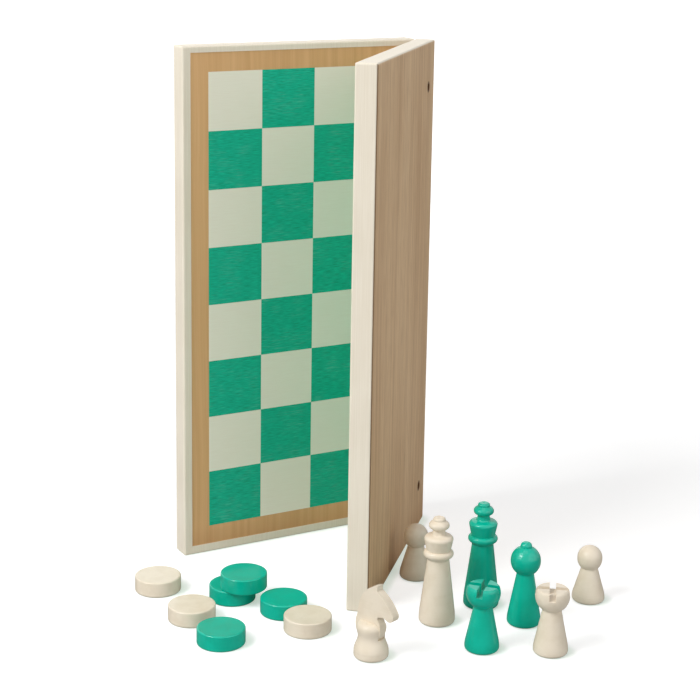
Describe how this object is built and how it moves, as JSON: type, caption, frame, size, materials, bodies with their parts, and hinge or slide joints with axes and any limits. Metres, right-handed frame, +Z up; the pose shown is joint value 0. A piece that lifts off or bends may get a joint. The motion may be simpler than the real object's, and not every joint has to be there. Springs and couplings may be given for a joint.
{
  "type": "folding games board with men and discs",
  "caption": "Wooden folding chess and draughts board standing open on its short edges, with turned men and round discs beside it.",
  "frame": {"origin": "foot of the fold line on the table. The nearest point of the standing face, where the mount standing_edge is, lies 1.9 mm from it, because the leaves clear the fold line", "axes": "+Z up along the fold line, +Y away from the viewer, +X to the right"},
  "size_m": [0.2628, 0.2238, 0.3],
  "materials": {
    "rim_paint": "satin cream paint on wood",
    "face_wood": "fine straight grain, clear matt lacquer",
    "inner_wood": "bare plywood",
    "pale_inlay": "pale stained veneer, matt lacquer",
    "green_inlay": "green stained veneer, matt lacquer",
    "cream_lacquer": "cream satin lacquer on turned wood",
    "green_lacquer": "green satin lacquer on turned wood",
    "hinge_brass": "brushed",
    "pin_steel": "bright"
  },
  "bodies": {
    "right_leaf": {"right_core": "inner_wood", "right_outer_stile": "rim_paint", "right_top_rail": "rim_paint", "right_bottom_rail": "rim_paint", "right_hinge_rail": "inner_wood", "right_outer_panel": "face_wood", "right_play_panel": "face_wood", "right_pale_squares": "pale_inlay", "right_green_squares": "green_inlay", "right_upper_wing": "hinge_brass", "right_lower_wing": "hinge_brass", "right_wing_screws": "pin_steel", "upper_hinge_pin": "pin_steel", "lower_hinge_pin": "pin_steel"},
    "left_leaf": {"left_core": "inner_wood", "left_outer_stile": "rim_paint", "left_top_rail": "rim_paint", "left_bottom_rail": "rim_paint", "left_hinge_rail": "inner_wood", "left_outer_panel": "face_wood", "left_play_panel": "face_wood", "left_pale_squares": "pale_inlay", "left_green_squares": "green_inlay", "left_upper_wing": "hinge_brass", "left_lower_wing": "hinge_brass", "left_wing_screws": "pin_steel"},
    "far_left_cream_disc": {"far_left_cream_disc": "cream_lacquer"},
    "back_green_disc": {"back_green_disc": "green_lacquer"},
    "lower_green_disc": {"lower_green_disc": "green_lacquer"},
    "middle_cream_disc": {"middle_cream_disc": "cream_lacquer"},
    "front_green_disc": {"front_green_disc": "green_lacquer"},
    "right_cream_disc": {"right_cream_disc": "cream_lacquer"},
    "cream_king": {"cream_king": "cream_lacquer"},
    "green_king": {"green_king": "green_lacquer"},
    "green_bishop": {"green_bishop": "green_lacquer"},
    "green_rook": {"green_rook": "green_lacquer"},
    "cream_rook": {"cream_rook": "cream_lacquer"},
    "right_cream_pawn": {"right_cream_pawn": "cream_lacquer"},
    "left_cream_pawn": {"left_cream_pawn": "cream_lacquer"},
    "upper_green_disc": {"upper_green_disc": "green_lacquer"},
    "cream_knight": {"cream_knight_base": "cream_lacquer", "cream_knight_head": "cream_lacquer"}
  },
  "joints": [
    {"name": "fold", "type": "hinge", "parent": "right_leaf", "child": "left_leaf", "pos_m": [0, 0, 0.15], "axis": [0, 0, 1], "range_deg": [-132.8, 47.2]},
    {"name": "lift_far_left_cream_disc", "type": "slide", "parent": "right_leaf", "child": "far_left_cream_disc", "axis": [0, 0, 1], "range_m": [0, 0.12]},
    {"name": "lift_back_green_disc", "type": "slide", "parent": "right_leaf", "child": "back_green_disc", "axis": [0, 0, 1], "range_m": [0, 0.12]},
    {"name": "lift_lower_green_disc", "type": "slide", "parent": "right_leaf", "child": "lower_green_disc", "axis": [0, 0, 1], "range_m": [0, 0.12]},
    {"name": "lift_middle_cream_disc", "type": "slide", "parent": "right_leaf", "child": "middle_cream_disc", "axis": [0, 0, 1], "range_m": [0, 0.12]},
    {"name": "lift_front_green_disc", "type": "slide", "parent": "right_leaf", "child": "front_green_disc", "axis": [0, 0, 1], "range_m": [0, 0.12]},
    {"name": "lift_right_cream_disc", "type": "slide", "parent": "right_leaf", "child": "right_cream_disc", "axis": [0, 0, 1], "range_m": [0, 0.12]},
    {"name": "lift_cream_king", "type": "slide", "parent": "right_leaf", "child": "cream_king", "axis": [0, 0, 1], "range_m": [0, 0.12]},
    {"name": "lift_green_king", "type": "slide", "parent": "right_leaf", "child": "green_king", "axis": [0, 0, 1], "range_m": [0, 0.12]},
    {"name": "lift_green_bishop", "type": "slide", "parent": "right_leaf", "child": "green_bishop", "axis": [0, 0, 1], "range_m": [0, 0.12]},
    {"name": "lift_green_rook", "type": "slide", "parent": "right_leaf", "child": "green_rook", "axis": [0, 0, 1], "range_m": [0, 0.12]},
    {"name": "lift_cream_rook", "type": "slide", "parent": "right_leaf", "child": "cream_rook", "axis": [0, 0, 1], "range_m": [0, 0.12]},
    {"name": "lift_right_cream_pawn", "type": "slide", "parent": "right_leaf", "child": "right_cream_pawn", "axis": [0, 0, 1], "range_m": [0, 0.12]},
    {"name": "lift_left_cream_pawn", "type": "slide", "parent": "right_leaf", "child": "left_cream_pawn", "axis": [0, 0, 1], "range_m": [0, 0.12]},
    {"name": "lift_upper_green_disc", "type": "slide", "parent": "lower_green_disc", "child": "upper_green_disc", "axis": [0, 0, 1], "range_m": [0, 0.12]},
    {"name": "lift_cream_knight", "type": "slide", "parent": "right_leaf", "child": "cream_knight", "axis": [0, 0, 1], "range_m": [0, 0.12]}
  ]
}
